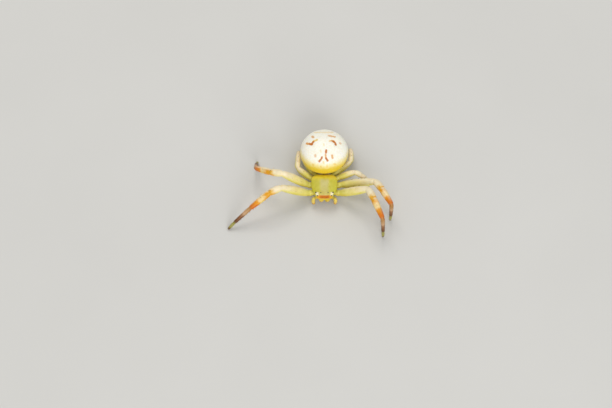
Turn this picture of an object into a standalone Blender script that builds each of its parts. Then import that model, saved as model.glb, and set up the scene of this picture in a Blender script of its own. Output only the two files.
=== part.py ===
"""Crab spider at life size, standing on the floor with its front legs arched and spread.

Metres, +Z up. The spider faces -Y and its left side is towards +X. The origin is on the floor,
in the middle of the rectangle that the whole stance covers. Sizes below are in millimetres
times MM, and places are counted from the floor point under the middle of the carapace.
"""

import math

import bmesh
import bpy
from mathutils import Matrix, Vector

MM = 0.001

# Where the middle of the body stands in the stance's own rectangle
BODY_PLACE = Vector((1.73, -0.12, 0.0)) * MM

# Gap that parts two neighbouring pieces of the body
JOINT_GAP = 0.03 * MM

# Carapace, the shield over the front half of the body: y, half width, top and lower rim of its
# outline at each station from face to stalk
CARAPACE_OUTLINE = (
    (-1.80, 0.78, 2.08, 1.20),
    (-1.78, 0.87, 2.14, 1.15),
    (-1.70, 0.95, 2.19, 1.14),
    (-1.58, 1.02, 2.22, 1.15),
    (-1.46, 1.11, 2.24, 1.28),
    (-1.34, 1.21, 2.26, 1.40),
    (-1.16, 1.32, 2.27, 1.44),
    (-0.86, 1.41, 2.28, 1.44),
    (-0.46, 1.46, 2.28, 1.44),
    (-0.02, 1.47, 2.26, 1.44),
    (0.36, 1.44, 2.19, 1.44),
    (0.64, 1.35, 2.08, 1.44),
    (0.84, 1.22, 1.95, 1.44),
    (0.97, 1.06, 1.83, 1.44),
    (1.08, 0.86, 1.70, 1.44),
    (1.14, 0.68, 1.62, 1.45),
)
CARAPACE_SIDES = 28
CARAPACE_FULLNESS = 2.7
CARAPACE_RIM = 1.44 * MM
FACE_BOTTOM = 1.14 * MM

# Pair of low horns that carry the side eyes at the corners of the face
EYE_HORN_Y = -1.60
EYE_HORN_LENGTH = 0.17
EYE_HORN_SIDE = 0.83
EYE_HORN_WIDTH = 0.20
EYE_HORN_RISE = 0.15
EYE_HORN_SPREAD = 0.09

# Sternum, the plate between the leg bases
STERNUM_FRONT = -1.22 * MM
STERNUM_REAR = 1.22 * MM
STERNUM_HALF_WIDTH = 0.70 * MM
STERNUM_TOP = CARAPACE_RIM - JOINT_GAP
STERNUM_BOTTOM = 0.78 * MM
STERNUM_BELLY = 0.10 * MM
STERNUM_SIDES = 16

# Mouthparts under the face
MAXILLAE_FRONT = -1.37 * MM
MAXILLAE_HALF_WIDTH = 0.40 * MM
MAXILLAE_HALF_HEIGHT = 0.19 * MM
MAXILLAE_Z = 0.92 * MM
CHELICERA_SIDE = 0.33 * MM
CHELICERA_TOP = FACE_BOTTOM - JOINT_GAP
CHELICERA_BOTTOM = 0.42 * MM
CHELICERA_Y = -1.66 * MM
CHELICERA_LEAN = 0.06 * MM
CHELICERA_HALF_WIDTH = 0.31 * MM
CHELICERA_HALF_DEPTH = 0.23 * MM

# Pedipalp: base, elbow and tip
PALP_JOINTS = (
    (0.72, -1.31, 0.90),
    (1.12, -1.55, 1.07),
    (1.29, -1.86, 0.92),
    (1.20, -2.00, 0.40),
)
PALP_RADIUS = 0.235 * MM
PALP_SIDES = 12

# Abdomen
ABDOMEN_CENTRE = Vector((0.0, 3.54, 2.32)) * MM
ABDOMEN_HALF_WIDTH = 2.72 * MM
ABDOMEN_HALF_LENGTH = 2.66 * MM
ABDOMEN_RISE = 2.08 * MM
ABDOMEN_DEPTH = 1.56 * MM
ABDOMEN_FULLNESS = 2.25
ABDOMEN_SEGMENTS = 28
ABDOMEN_RINGS = 16

# Stalk between carapace and abdomen
PEDICEL_RADIUS = 0.18 * MM
PEDICEL_FRONT = Vector((0.0, 1.28, 1.14)) * MM
PEDICEL_REAR = Vector((0.0, 1.46, 1.17)) * MM

# Cluster of spinnerets under the rear of the abdomen
SPINNERET_TOP = Vector((0.0, 5.33, 1.14)) * MM
SPINNERET_TIP = Vector((0.0, 5.69, 0.62)) * MM
SPINNERET_RADIUS = 0.36 * MM

# Eyes: name, distance from the middle, y, z and radius
SOCKET_GAP = 0.02 * MM
EYES = (
    ("eye_front_middle", 0.26, -1.800, 1.78, 0.060),
    ("eye_front_side", 0.76, -1.760, 2.02, 0.085),
    ("eye_rear_middle", 0.40, -1.500, 2.220, 0.060),
    ("eye_rear_side", 0.94, -1.480, 2.200, 0.080),
)

# Hip and trochanter of the left leg of each pair, from the front pair to the rear one
HIPS = ((0.76, -0.80, 1.07), (0.78, -0.14, 1.06), (0.76, 0.53, 1.06), (0.58, 1.13, 1.00))
TROCHANTERS = ((1.74, -1.01, 1.15), (1.84, 0.04, 1.19), (1.66, 1.00, 1.15), (1.20, 1.60, 0.92))

# Knee to tibia end, and tibia end to foot, for each pair
UPPER_LENGTHS = (4.04, 3.78, 2.05, 1.62)
LOWER_LENGTHS = (3.72, 3.50, 1.65, 1.42)

# Where each leg's knee and foot stand, and how far its arch leans over from upright, in degrees
STANCE = {
    "leg_1_left": {"knee": (4.76, -1.75, 3.54), "foot": (6.44, -5.86), "lean": 0.0},
    "leg_1_right": {"knee": (-4.77, -1.46, 3.28), "foot": (-10.74, -5.02), "lean": 13.0},
    "leg_2_left": {"knee": (5.62, -0.38, 2.76), "foot": (7.26, -3.80), "lean": -2.0},
    "leg_2_right": {"knee": (-4.59, -0.26, 4.32), "foot": (-7.48, 3.60), "lean": -61.0},
    "leg_3_left": {"knee": (3.42, 1.10, 2.26), "foot": (4.62, 0.20), "lean": -8.0},
    "leg_3_right": {"knee": (-3.00, 1.95, 1.56), "foot": (-2.90, 4.90), "lean": 4.0},
    "leg_4_left": {"knee": (2.98, 2.85, 1.42), "foot": (2.92, 5.15), "lean": 6.0},
    "leg_4_right": {"knee": (-2.20, 3.30, 0.78), "foot": (-1.88, 6.02), "lean": -30.0},
}
BELOW_FLOOR = 0.36 * MM
PATELLA_SHARE = 0.32
PATELLA_BOW = 0.105
METATARSUS_SHARE = 0.67
METATARSUS_BOW = 0.025
LEG_CORNER = 0.46 * MM

# Half thickness of a leg at its hip, trochanter, mid femur, knee, mid patella, tibia start,
# tibia end and foot, for the long front legs and for the short hind legs
FRONT_LEG_RADII = tuple(r * MM for r in (0.29, 0.36, 0.49, 0.385, 0.42, 0.37, 0.275, 0.25))
HIND_LEG_RADII = tuple(r * MM for r in (0.26, 0.30, 0.37, 0.285, 0.31, 0.285, 0.25, 0.25))
FRONT_LEG_SIDES = 10
HIND_LEG_SIDES = 9

# Colours as seen on the living spider
COLOURS = {
    "abdomen_white": ((0.86, 0.83, 0.74, 1.0), 0.48),
    "carapace_yellow_green": ((0.58, 0.53, 0.13, 1.0), 0.38),
    "leg_straw": ((0.72, 0.62, 0.30, 1.0), 0.40),
    "leg_tip_brown": ((0.45, 0.22, 0.08, 1.0), 0.42),
    "mouthpart_yellow": ((0.66, 0.50, 0.14, 1.0), 0.40),
    "eye_black": ((0.02, 0.015, 0.012, 1.0), 0.12),
}


def clear_scene():
    for thing in list(bpy.data.objects):
        bpy.data.objects.remove(thing)


def finish(name):
    """The material of this name, made the first time it is asked for."""
    if name in bpy.data.materials:
        return bpy.data.materials[name]
    colour, roughness = COLOURS[name]
    material = bpy.data.materials.new(name)
    material.use_nodes = True
    shader = material.node_tree.nodes["Principled BSDF"]
    shader.inputs["Base Color"].default_value = colour
    shader.inputs["Roughness"].default_value = roughness
    shader.inputs["Metallic"].default_value = 0.0
    return material


def add_piece(name, bm, material_name):
    """A named object from this bmesh, placed under the spider's own middle."""
    bmesh.ops.recalc_face_normals(bm, faces=bm.faces)
    mesh = bpy.data.meshes.new(name)
    bm.to_mesh(mesh)
    bm.free()
    mesh.shade_smooth()
    mesh.materials.append(finish(material_name))
    piece = bpy.data.objects.new(name, mesh)
    piece.location = BODY_PLACE
    bpy.context.scene.collection.objects.link(piece)
    return piece


def add_ring(bm, matrix, sides, is_end):
    """A unit circle placed and sized by the matrix, filled where it closes a tube."""
    made = bmesh.ops.create_circle(
        bm, cap_ends=is_end, segments=sides, radius=1.0, matrix=matrix
    )
    return made["verts"]


def bridge(bm, ring, next_ring):
    around = set(ring) | set(next_ring)
    edges = [
        edge for edge in {e for vert in around for e in vert.link_edges}
        if set(edge.verts) <= set(ring) or set(edge.verts) <= set(next_ring)
    ]
    bmesh.ops.bridge_loops(bm, edges=edges)


def loft(matrices, sides, shape_ring=None):
    """A closed body through the unit circles that these matrices place."""
    bm = bmesh.new()
    last = len(matrices) - 1
    rings = []
    for index, matrix in enumerate(matrices):
        ring = add_ring(bm, matrix, sides, index in (0, last))
        if shape_ring:
            shape_ring(ring, index)
        rings.append(ring)
    for ring, next_ring in zip(rings, rings[1:]):
        bridge(bm, ring, next_ring)
    return bm


def rounded_route(joints, reach):
    """Points along the joints with every bend rounded, and the index at which each joint lies."""
    steps = 8
    fine = [joints[0]]
    marks = [0]
    for before, here, after in zip(joints, joints[1:], joints[2:]):
        back, ahead = before - here, after - here
        start = here + back.normalized() * min(reach, 0.45 * back.length)
        end = here + ahead.normalized() * min(reach, 0.45 * ahead.length)
        for step in range(steps + 1):
            t = step / steps
            fine.append(start.lerp(here, t).lerp(here.lerp(end, t), t))
        marks.append(len(fine) - 1 - steps // 2)
    fine.append(joints[-1])
    marks.append(len(fine) - 1)
    return fine, marks


def running_lengths(points):
    lengths = [0.0]
    for point, next_point in zip(points, points[1:]):
        lengths.append(lengths[-1] + (next_point - point).length)
    return lengths


def point_at(points, lengths, place):
    """The point at this length along the route."""
    place = min(max(place, 0.0), lengths[-1])
    for index in range(len(lengths) - 1):
        if place <= lengths[index + 1]:
            step = lengths[index + 1] - lengths[index]
            return points[index].lerp(points[index + 1], (place - lengths[index]) / step)
    return points[-1]


def untwisted_frames(points, lengths, places):
    """For each place the centre and a frame that looks along the route and doesn't twist."""
    nudge = 0.05 * MM
    frames = []
    side = None
    for place in places:
        ahead = point_at(points, lengths, place + nudge) - point_at(points, lengths, place - nudge)
        ahead.normalize()
        if side is None:
            side = ahead.cross(Vector((0.0, 0.0, 1.0)))
        side = (side - ahead * side.dot(ahead)).normalized()
        up = side.cross(ahead)
        turn = Matrix((side, up, ahead)).transposed().to_4x4()
        frames.append(Matrix.Translation(point_at(points, lengths, place)) @ turn)
    return frames


def sized(frame, radius):
    return frame @ Matrix.Diagonal((radius, radius, 1.0, 1.0))


def leg_pieces(radii):
    """For each piece of a leg: its name, colour, first and last joint, and its thickness.

    The thickness is a list of pairs, a share of the piece's length and the half thickness there.
    """
    hip, trochanter, mid_femur, knee, mid_patella, tibia_start, tibia_end, foot = radii
    neck = 0.93
    return (
        ("coxa", "leg_straw", 0, 1,
         ((0.0, hip * 0.94), (0.2, hip), (0.6, hip * 1.04), (0.85, trochanter), (1.0, trochanter * neck))),
        ("femur", "leg_straw", 1, 2,
         ((0.0, trochanter * neck), (0.1, trochanter * 1.12), (0.28, mid_femur * 0.94), (0.5, mid_femur),
          (0.72, mid_femur * 0.95), (0.9, knee * 1.06), (1.0, knee * neck))),
        ("patella", "leg_straw", 2, 3,
         ((0.0, knee * neck), (0.16, mid_patella * 0.98), (0.5, mid_patella),
          (0.84, tibia_start * 1.04), (1.0, tibia_start * neck))),
        ("tibia", "leg_straw", 3, 4,
         ((0.0, tibia_start * neck), (0.1, tibia_start), (0.35, tibia_start * 1.02),
          (0.7, tibia_start * 0.9), (0.92, tibia_end * 1.02), (1.0, tibia_end * neck))),
        ("foot", "leg_tip_brown", 4, 6,
         ((0.0, tibia_end * neck), (0.08, tibia_end), (0.35, foot), (0.61, foot), (0.69, foot),
          (0.84, foot), (1.0, foot * 0.80))),
    )


def flatten_sole(bm):
    """Cuts the foot off at the floor, which leaves its small flat sole."""
    whole = list(bm.verts) + list(bm.edges) + list(bm.faces)
    cut = bmesh.ops.bisect_plane(
        bm, geom=whole, dist=1e-8, plane_co=(0.0, 0.0, 0.0), plane_no=(0.0, 0.0, -1.0),
        clear_outer=True,
    )
    rim = [item for item in cut["geom_cut"] if isinstance(item, bmesh.types.BMEdge)]
    bmesh.ops.contextual_create(bm, geom=rim)


def leg_joints(name):
    """The seven joints of a leg, from hip to foot, its last four on one arch over the floor.

    The last point lies a little below the floor, where flatten_sole cuts the foot off.
    """
    pair = int(name[4]) - 1
    side = 1.0 if name.endswith("left") else -1.0
    hip, trochanter = (Vector((side * x, y, z)) * MM for x, y, z in (HIPS[pair], TROCHANTERS[pair]))
    stance = STANCE[name]
    knee = Vector(stance["knee"]) * MM
    foot = Vector((*stance["foot"], 0.0)) * MM
    upper, lower = UPPER_LENGTHS[pair] * MM, LOWER_LENGTHS[pair] * MM
    chord = foot - knee
    straight = chord.normalized()
    upright = (Vector((0.0, 0.0, 1.0)) - straight * straight.z).normalized()
    leaning = Matrix.Rotation(math.radians(stance["lean"]), 3, straight) @ upright
    along = (upper ** 2 - lower ** 2 + chord.length ** 2) / (2.0 * chord.length)
    arch = math.sqrt(upper ** 2 - along ** 2)
    ankle = knee + straight * along + leaning * arch
    patella_end = knee.lerp(ankle, PATELLA_SHARE) + leaning * PATELLA_BOW * upper
    tarsus_start = ankle.lerp(foot, METATARSUS_SHARE) + leaning * METATARSUS_BOW * lower
    past_floor = foot + (foot - tarsus_start).normalized() * BELOW_FLOOR
    return [hip, trochanter, knee, patella_end, ankle, tarsus_start, past_floor]


def build_leg(name, radii, sides):
    """One leg as five pieces along one smooth line, with a thin gap at each joint."""
    joints = leg_joints(name)
    points, marks = rounded_route(joints, LEG_CORNER)
    lengths = running_lengths(points)
    places, counts = [], []
    pieces = leg_pieces(radii)
    for _, _, first, last, thickness in pieces:
        start = lengths[marks[first]] + JOINT_GAP / 2
        end = lengths[marks[last]] - JOINT_GAP / 2
        places += [start + (end - start) * share for share, _ in thickness]
        counts.append(len(thickness))
    frames = untwisted_frames(points, lengths, places)
    for (piece_name, colour, _, last, thickness), count in zip(pieces, counts):
        own, frames = frames[:count], frames[count:]
        rings = [sized(frame, radius) for frame, (_, radius) in zip(own, thickness)]
        bm = loft(rings, sides)
        if last == len(joints) - 1:
            flatten_sole(bm)
        add_piece(f"{name}_{piece_name}", bm, colour)


def ring_across(y):
    """A frame whose circle stands across the body at this y, with its up along +Z."""
    turn = Matrix(((1.0, 0.0, 0.0), (0.0, 0.0, 1.0), (0.0, 1.0, 0.0))).to_4x4()
    return Matrix.Translation((0.0, y, 0.0)) @ turn


def bump(value, centre, width):
    return math.exp(-((value - centre) / width) ** 2)


def build_carapace():
    last = len(CARAPACE_OUTLINE) - 1
    power = 2.0 / CARAPACE_FULLNESS

    def shape(ring, index):
        y, half_width, top, rim = CARAPACE_OUTLINE[index]
        middle, half_height = (top + rim) / 2, (top - rim) / 2
        for vert in ring:
            across = math.copysign(abs(vert.co.x) ** power, vert.co.x)
            up = math.copysign(abs(vert.co.z) ** power, vert.co.z)
            side = half_width * across
            horn = bump(y, EYE_HORN_Y, EYE_HORN_LENGTH) * bump(abs(side), EYE_HORN_SIDE, EYE_HORN_WIDTH)
            horn *= max(0.0, up) ** 0.5
            vert.co.x = (side + math.copysign(horn * EYE_HORN_SPREAD, across)) * MM
            vert.co.z = (middle + half_height * up + horn * EYE_HORN_RISE) * MM

    stations = [ring_across(outline[0] * MM) for outline in CARAPACE_OUTLINE]
    return add_piece("carapace", loft(stations, CARAPACE_SIDES, shape), "carapace_yellow_green")


def build_sternum():
    stations = (0.0, 0.06, 0.22, 0.45, 0.70, 0.88, 1.0)
    middle = (STERNUM_TOP + STERNUM_BOTTOM) / 2
    half_height = (STERNUM_TOP - STERNUM_BOTTOM) / 2

    def shape(ring, index):
        share = stations[index]
        widen = (0.62, 0.74, 0.92, 1.0, 0.92, 0.70, 0.44)[index]
        less = 0.86 if index in (0, len(stations) - 1) else 1.0
        for vert in ring:
            across = math.copysign(abs(vert.co.x) ** 0.7, vert.co.x)
            up = math.copysign(abs(vert.co.z) ** 0.6, vert.co.z)
            vert.co.x = STERNUM_HALF_WIDTH * widen * across
            belly = STERNUM_BELLY * min(0.0, up) * math.sin(math.pi * share)
            vert.co.z = middle + half_height * less * up + belly

    span = STERNUM_REAR - STERNUM_FRONT
    matrices = [ring_across(STERNUM_FRONT + span * share) for share in stations]
    add_piece("sternum", loft(matrices, STERNUM_SIDES, shape), "carapace_yellow_green")


def build_maxillae():
    """The pair of plates and the lip between them, as one block behind the chelicerae."""
    rear = STERNUM_FRONT - JOINT_GAP
    outline = ((0.0, 0.78), (0.25, 0.96), (0.70, 1.0), (1.0, 0.86))

    def shape(ring, index):
        size = outline[index][1]
        for vert in ring:
            across, up = vert.co.x, vert.co.z
            groove = 0.06 * MM * bump(across, 0.0, 0.25) * min(0.0, up)
            height = MAXILLAE_HALF_HEIGHT * size * math.copysign(abs(up) ** 0.75, up)
            vert.co.x = MAXILLAE_HALF_WIDTH * size * math.copysign(abs(across) ** 0.75, across)
            vert.co.z = MAXILLAE_Z + height - groove

    matrices = [ring_across(MAXILLAE_FRONT + (rear - MAXILLAE_FRONT) * share) for share, _ in outline]
    add_piece("maxillae", loft(matrices, 14, shape), "mouthpart_yellow")


def build_chelicera(name, side):
    """One short stout jaw, hanging from the lower edge of the face."""
    span = CHELICERA_TOP - CHELICERA_BOTTOM
    profile = ((0.0, 0.86), (0.10, 0.98), (0.35, 1.0), (0.65, 0.90), (0.88, 0.68), (1.0, 0.40))
    rings = []
    for share, size in profile:
        y = CHELICERA_Y + CHELICERA_LEAN * share
        centre = Vector((side * CHELICERA_SIDE, y, CHELICERA_TOP - span * share))
        scale = Matrix.Diagonal((CHELICERA_HALF_WIDTH * size, CHELICERA_HALF_DEPTH * size, 1.0, 1.0))
        rings.append(Matrix.Translation(centre) @ scale)
    add_piece(name, loft(rings, 12), "mouthpart_yellow")


def build_pedipalp(name, side):
    """A short feeler beside the jaw, bent down at its elbow."""
    joints = [Vector((side * x, y, z)) * MM for x, y, z in PALP_JOINTS]
    points, _ = rounded_route(joints, 0.28 * MM)
    lengths = running_lengths(points)
    profile = (
        (0.0, 0.80), (0.08, 0.94), (0.25, 0.92), (0.40, 1.0), (0.55, 0.94), (0.68, 1.0),
        (0.82, 0.98), (0.93, 0.78), (1.0, 0.42),
    )
    frames = untwisted_frames(points, lengths, [lengths[-1] * share for share, _ in profile])
    rings = [sized(frame, PALP_RADIUS * size) for frame, (_, size) in zip(frames, profile)]
    add_piece(name, loft(rings, PALP_SIDES), "mouthpart_yellow")


def build_abdomen():
    """A near-round drum, flatter on top, that tucks in below towards stalk and spinnerets."""
    bm = bmesh.new()
    bmesh.ops.create_uvsphere(
        bm, u_segments=ABDOMEN_SEGMENTS, v_segments=ABDOMEN_RINGS, radius=1.0
    )
    lean = 2.0 / ABDOMEN_FULLNESS
    for vert in bm.verts:
        level = vert.co.z
        reach = math.sqrt(max(0.0, 1.0 - level * level))
        if reach > 1e-6:
            full = reach ** lean / reach
            vert.co.x *= full
            vert.co.y *= full
        height = math.copysign(abs(level) ** lean, level)
        tuck = 1.0 - 0.10 * max(0.0, -height)
        vert.co.x *= ABDOMEN_HALF_WIDTH * tuck
        vert.co.y *= ABDOMEN_HALF_LENGTH * tuck
        vert.co.z = height * (ABDOMEN_RISE if height > 0.0 else ABDOMEN_DEPTH)
    bmesh.ops.translate(bm, verts=bm.verts, vec=ABDOMEN_CENTRE)
    add_piece("abdomen", bm, "abdomen_white")


def build_tapered_link(name, start, end, profile, radius, sides, colour, lobes=0):
    """A short tube between two points; lobes make its outline a ring of petals."""
    ahead = (end - start).normalized()
    side = Vector((1.0, 0.0, 0.0))
    up = side.cross(ahead)
    turn = Matrix((side, up, ahead)).transposed().to_4x4()
    rings = []
    for share, size in profile:
        rings.append(Matrix.Translation(start.lerp(end, share)) @ turn @ Matrix.Diagonal(
            (radius * size, radius * size, 1.0, 1.0)
        ))

    def shape(ring, index):
        centre = rings[index].translation
        for place, vert in enumerate(ring):
            petal = 1.0 + 0.13 * math.cos(lobes * 2.0 * math.pi * place / sides)
            vert.co = centre + (vert.co - centre) * petal

    add_piece(name, loft(rings, sides, shape if lobes else None), colour)


def eye_ball(bm, x, y, z, radius):
    centre = Matrix.Translation(Vector((x, y, z)) * MM)
    bmesh.ops.create_icosphere(bm, subdivisions=2, radius=radius, matrix=centre)


def build_eyes(carapace):
    """Eight eyes, each in its own socket in the carapace."""
    sockets = bmesh.new()
    for side, side_name in ((1.0, "left"), (-1.0, "right")):
        for name, x, y, z, radius in EYES:
            eye = bmesh.new()
            eye_ball(eye, side * x, y, z, radius * MM)
            add_piece(f"{name}_{side_name}", eye, "eye_black")
            eye_ball(sockets, side * x, y, z, radius * MM + SOCKET_GAP)
    cutter = add_piece("eye_sockets", sockets, "eye_black")
    cutter.hide_render = True
    cutter.display_type = "WIRE"
    cut = carapace.modifiers.new("eye sockets", "BOOLEAN")
    cut.operation = "DIFFERENCE"
    cut.solver = "EXACT"
    cut.object = cutter


def build_spider():
    carapace = build_carapace()
    build_sternum()
    build_maxillae()
    build_abdomen()
    for side, side_name in ((1.0, "left"), (-1.0, "right")):
        build_chelicera(f"chelicera_{side_name}", side)
        build_pedipalp(f"pedipalp_{side_name}", side)
    build_tapered_link(
        "pedicel", PEDICEL_FRONT, PEDICEL_REAR, ((0.0, 1.0), (0.5, 0.86), (1.0, 1.0)),
        PEDICEL_RADIUS, 12, "carapace_yellow_green",
    )
    build_tapered_link(
        "spinnerets", SPINNERET_TOP, SPINNERET_TIP, ((0.0, 1.0), (0.35, 0.98), (0.7, 0.74), (1.0, 0.38)),
        SPINNERET_RADIUS, 18, "mouthpart_yellow", lobes=6,
    )
    build_eyes(carapace)
    for name in STANCE:
        is_front = name[4] in "12"
        radii = FRONT_LEG_RADII if is_front else HIND_LEG_RADII
        build_leg(name, radii, FRONT_LEG_SIDES if is_front else HIND_LEG_SIDES)


clear_scene()
build_spider()
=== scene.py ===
import math
import random

import bmesh
import bpy
from mathutils import Matrix, Vector, noise
from mathutils.bvhtree import BVHTree


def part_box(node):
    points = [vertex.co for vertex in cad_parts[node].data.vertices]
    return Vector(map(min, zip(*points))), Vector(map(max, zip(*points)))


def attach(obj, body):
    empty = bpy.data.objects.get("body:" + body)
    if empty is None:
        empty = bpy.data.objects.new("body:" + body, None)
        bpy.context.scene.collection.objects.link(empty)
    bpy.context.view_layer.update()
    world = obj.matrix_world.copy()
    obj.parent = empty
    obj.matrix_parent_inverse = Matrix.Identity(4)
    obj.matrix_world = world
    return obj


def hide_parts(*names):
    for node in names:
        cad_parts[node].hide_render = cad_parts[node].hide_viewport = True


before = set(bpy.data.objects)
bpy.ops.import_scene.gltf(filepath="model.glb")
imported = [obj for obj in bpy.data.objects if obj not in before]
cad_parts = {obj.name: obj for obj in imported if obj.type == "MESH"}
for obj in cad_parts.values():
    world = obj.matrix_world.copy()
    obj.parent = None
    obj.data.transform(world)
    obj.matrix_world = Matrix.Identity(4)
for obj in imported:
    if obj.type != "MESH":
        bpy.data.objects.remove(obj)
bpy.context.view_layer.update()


# Sternum: the heart-shaped plate on the underside that the eight leg bases surround. It is hard
# cuticle, moulded in one with the soft skin that joins it to them. Everything is shaped in
# millimetres about the floor point under the middle of the carapace.
MM = 0.001
BODY_PLACE = Vector((1.73, -0.12, 0.0))
TO_FRAME = Matrix.Scale(MM, 4) @ Matrix.Translation(BODY_PLACE)
UP = Vector((0.0, 0.0, 1.0))
ACROSS_BODY = Matrix(((1.0, 0.0, 0.0), (0.0, 0.0, 1.0), (0.0, 1.0, 0.0))).to_4x4()
STERNUM_SHAPE = (  # y, half width, lowest point
    (-1.21, 0.40, 0.87), (-1.12, 0.50, 0.81), (-0.80, 0.62, 0.76), (-0.25, 0.69, 0.70),
    (0.30, 0.62, 0.70), (0.80, 0.46, 0.74), (1.10, 0.30, 0.80), (1.20, 0.20, 0.87),
)
STERNUM_TOP = 1.41
STERNUM_FULLNESS = (2.6, 2.8)


def smooth_row(rows, at):
    """The values of a table's rows at this place, on a smooth curve through them all."""
    index = 1
    while index < len(rows) - 1 and rows[index][0] < at:
        index += 1
    before, start, end = rows[max(index - 2, 0)], rows[index - 1], rows[index]
    after = rows[min(index + 1, len(rows) - 1)]
    span = end[0] - start[0]
    t = min(max((at - start[0]) / span, 0.0), 1.0)
    values = []
    for a, b, c, d in zip(before[1:], start[1:], end[1:], after[1:]):
        leave = (c - a) / (end[0] - before[0]) * span
        arrive = (d - b) / (after[0] - start[0]) * span
        curve = (2 * b - 2 * c + leave + arrive) * t + (3 * c - 3 * b - 2 * leave - arrive)
        values.append((curve * t + leave) * t + b)
    return values


def add_ring(bm, matrix, sides):
    """A circle of unit radius, placed and stretched by the matrix."""
    return bmesh.ops.create_circle(bm, segments=sides, radius=1.0, matrix=matrix)["verts"]


def join_rings(bm, rings):
    """Bridges the rings one after the other and draws each end ring together into a pole."""
    for ring, next_ring in zip(rings, rings[1:]):
        first, second = set(ring), set(next_ring)
        around = {edge for vert in first | second for edge in vert.link_edges}
        edges = [e for e in around if set(e.verts) <= first or set(e.verts) <= second]
        bmesh.ops.bridge_loops(bm, edges=edges)
    for ring in (rings[0], rings[-1]):
        middle = sum((vert.co for vert in ring), Vector()) / len(ring)
        bmesh.ops.pointmerge(bm, verts=ring, merge_co=middle)


def draw_through(bm, steps, ring_at):
    """A closed skin through the rings that ring_at makes at even shares from 0 to 1."""
    join_rings(bm, [ring_at(step / steps) for step in range(steps + 1)])


def full(value, fullness):
    """A circle's coordinate moved out towards a square's as fullness rises over 2."""
    return math.copysign(abs(value) ** (2.0 / fullness), value)


def oval_ring(bm, centre, half_width, half_height, sides, fullness=(2.0, 2.0)):
    """A ring that stands across the body: an oval, or nearly a box where it is fuller."""
    ring = add_ring(bm, ACROSS_BODY, sides)
    for vert in ring:
        out = half_width * full(vert.co.x, fullness[0])
        up = half_height * full(vert.co.z, fullness[1])
        vert.co = Vector(centre) + Vector((out, 0.0, up))
    return ring


def hump(value, centre, width):
    """A smooth rise to 1 at the centre that dies away over this width."""
    return math.exp(-((value - centre) / width) ** 2)


def make_piece(name, bm, material):
    """The finished mesh as an object of the scene, placed in the frame."""
    bmesh.ops.recalc_face_normals(bm, faces=bm.faces)
    bmesh.ops.transform(bm, matrix=TO_FRAME, verts=bm.verts)
    mesh = bpy.data.meshes.new(name)
    bm.to_mesh(mesh)
    bm.free()
    mesh.shade_smooth()
    mesh.materials.append(material)
    piece = bpy.data.objects.new(name, mesh)
    bpy.context.scene.collection.objects.link(piece)
    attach(piece, "root")
    return piece


def shader_colour(colour):
    """A colour as seen on a screen, 0 to 255, in the linear values that a shader takes."""
    if isinstance(colour, bpy.types.NodeSocket):
        return colour
    parts = [value / 255.0 for value in colour]
    return (*(v / 12.92 if v <= 0.04045 else ((v + 0.055) / 1.055) ** 2.4 for v in parts), 1.0)


def set_inputs(tree, node, inputs):
    """Gives each input of the node a value, or links it to another node's socket."""
    for key, value in inputs.items():
        if isinstance(value, bpy.types.NodeSocket):
            tree.links.new(value, node.inputs[key])
        else:
            node.inputs[key].default_value = value
    return node.outputs


def add_node(tree, kind, inputs=None, **settings):
    """The outputs of a new node of this kind, with its settings made and its inputs set."""
    node = tree.nodes.new("ShaderNode" + kind)
    for key, value in settings.items():
        setattr(node, key, value)
    return set_inputs(tree, node, inputs or {})


def calc(tree, operation, first, second=0.0):
    return add_node(tree, "Math", {0: first, 1: second}, operation=operation)[0]


def vector_calc(tree, operation, first, second):
    """Vector arithmetic. A dot product or a distance is a plain value."""
    results = add_node(tree, "VectorMath", {0: first, 1: second}, operation=operation)
    return results["Value" if operation in ("DOT_PRODUCT", "DISTANCE") else "Vector"]


def times(tree, *masks):
    """All of these masks multiplied together."""
    product = masks[0]
    for mask in masks[1:]:
        product = calc(tree, "MULTIPLY", product, mask)
    return product


def rise(tree, value, low, high):
    """A mask that climbs smoothly from 0 at low to 1 at high, or falls where high is lower."""
    limits = {"Value": value, "From Min": min(low, high), "From Max": max(low, high)}
    limits.update({"To Min": float(low > high), "To Max": float(low < high)})
    return add_node(tree, "MapRange", limits, interpolation_type="SMOOTHSTEP")["Result"]


def lay_over(tree, colour, *coats):
    """Each coat's colour laid over the ones before it, as far as the coat's mask lets it."""
    for mask, over in coats:
        colour = add_node(tree, "Mix", {
            0: mask, 6: shader_colour(colour), 7: shader_colour(over)}, data_type="RGBA")[2]
    return colour


def colour_ramp(tree, value, stops):
    """The stops' colours along a value that runs from 0 to the place of the last stop."""
    end = stops[-1][0]
    ramp = tree.nodes.new("ShaderNodeValToRGB")
    elements = ramp.color_ramp.elements
    elements[0].color, elements[1].color = (shader_colour(stops[side][1]) for side in (0, -1))
    for position, colour in stops[1:-1]:
        elements.new(position / end).color = shader_colour(colour)
    return set_inputs(tree, ramp, {"Fac": calc(tree, "DIVIDE", value, end)})["Color"]


def body_place(tree):
    """Object coordinates as millimetres about the body's own middle."""
    return add_node(tree, "Mapping", {
        "Vector": add_node(tree, "TexCoord")["Object"], "Location": tuple(-BODY_PLACE),
        "Scale": (1 / MM,) * 3})["Vector"]


def axes(tree, vector):
    return add_node(tree, "SeparateXYZ", {"Vector": vector})


def surface_normal(tree):
    return add_node(tree, "NewGeometry")["Normal"]


def attribute(tree, name):
    return add_node(tree, "Attribute", attribute_name=name)["Fac"]


def ragged(tree, scale, detail, amount):
    """Noise that wavers about zero, by half of this amount at most, to roughen an edge."""
    clouds = add_node(tree, "TexNoise", {"Vector": body_place(tree), "Scale": scale, "Detail": detail})
    return times(tree, calc(tree, "SUBTRACT", clouds["Fac"], 0.5), amount)


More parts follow.
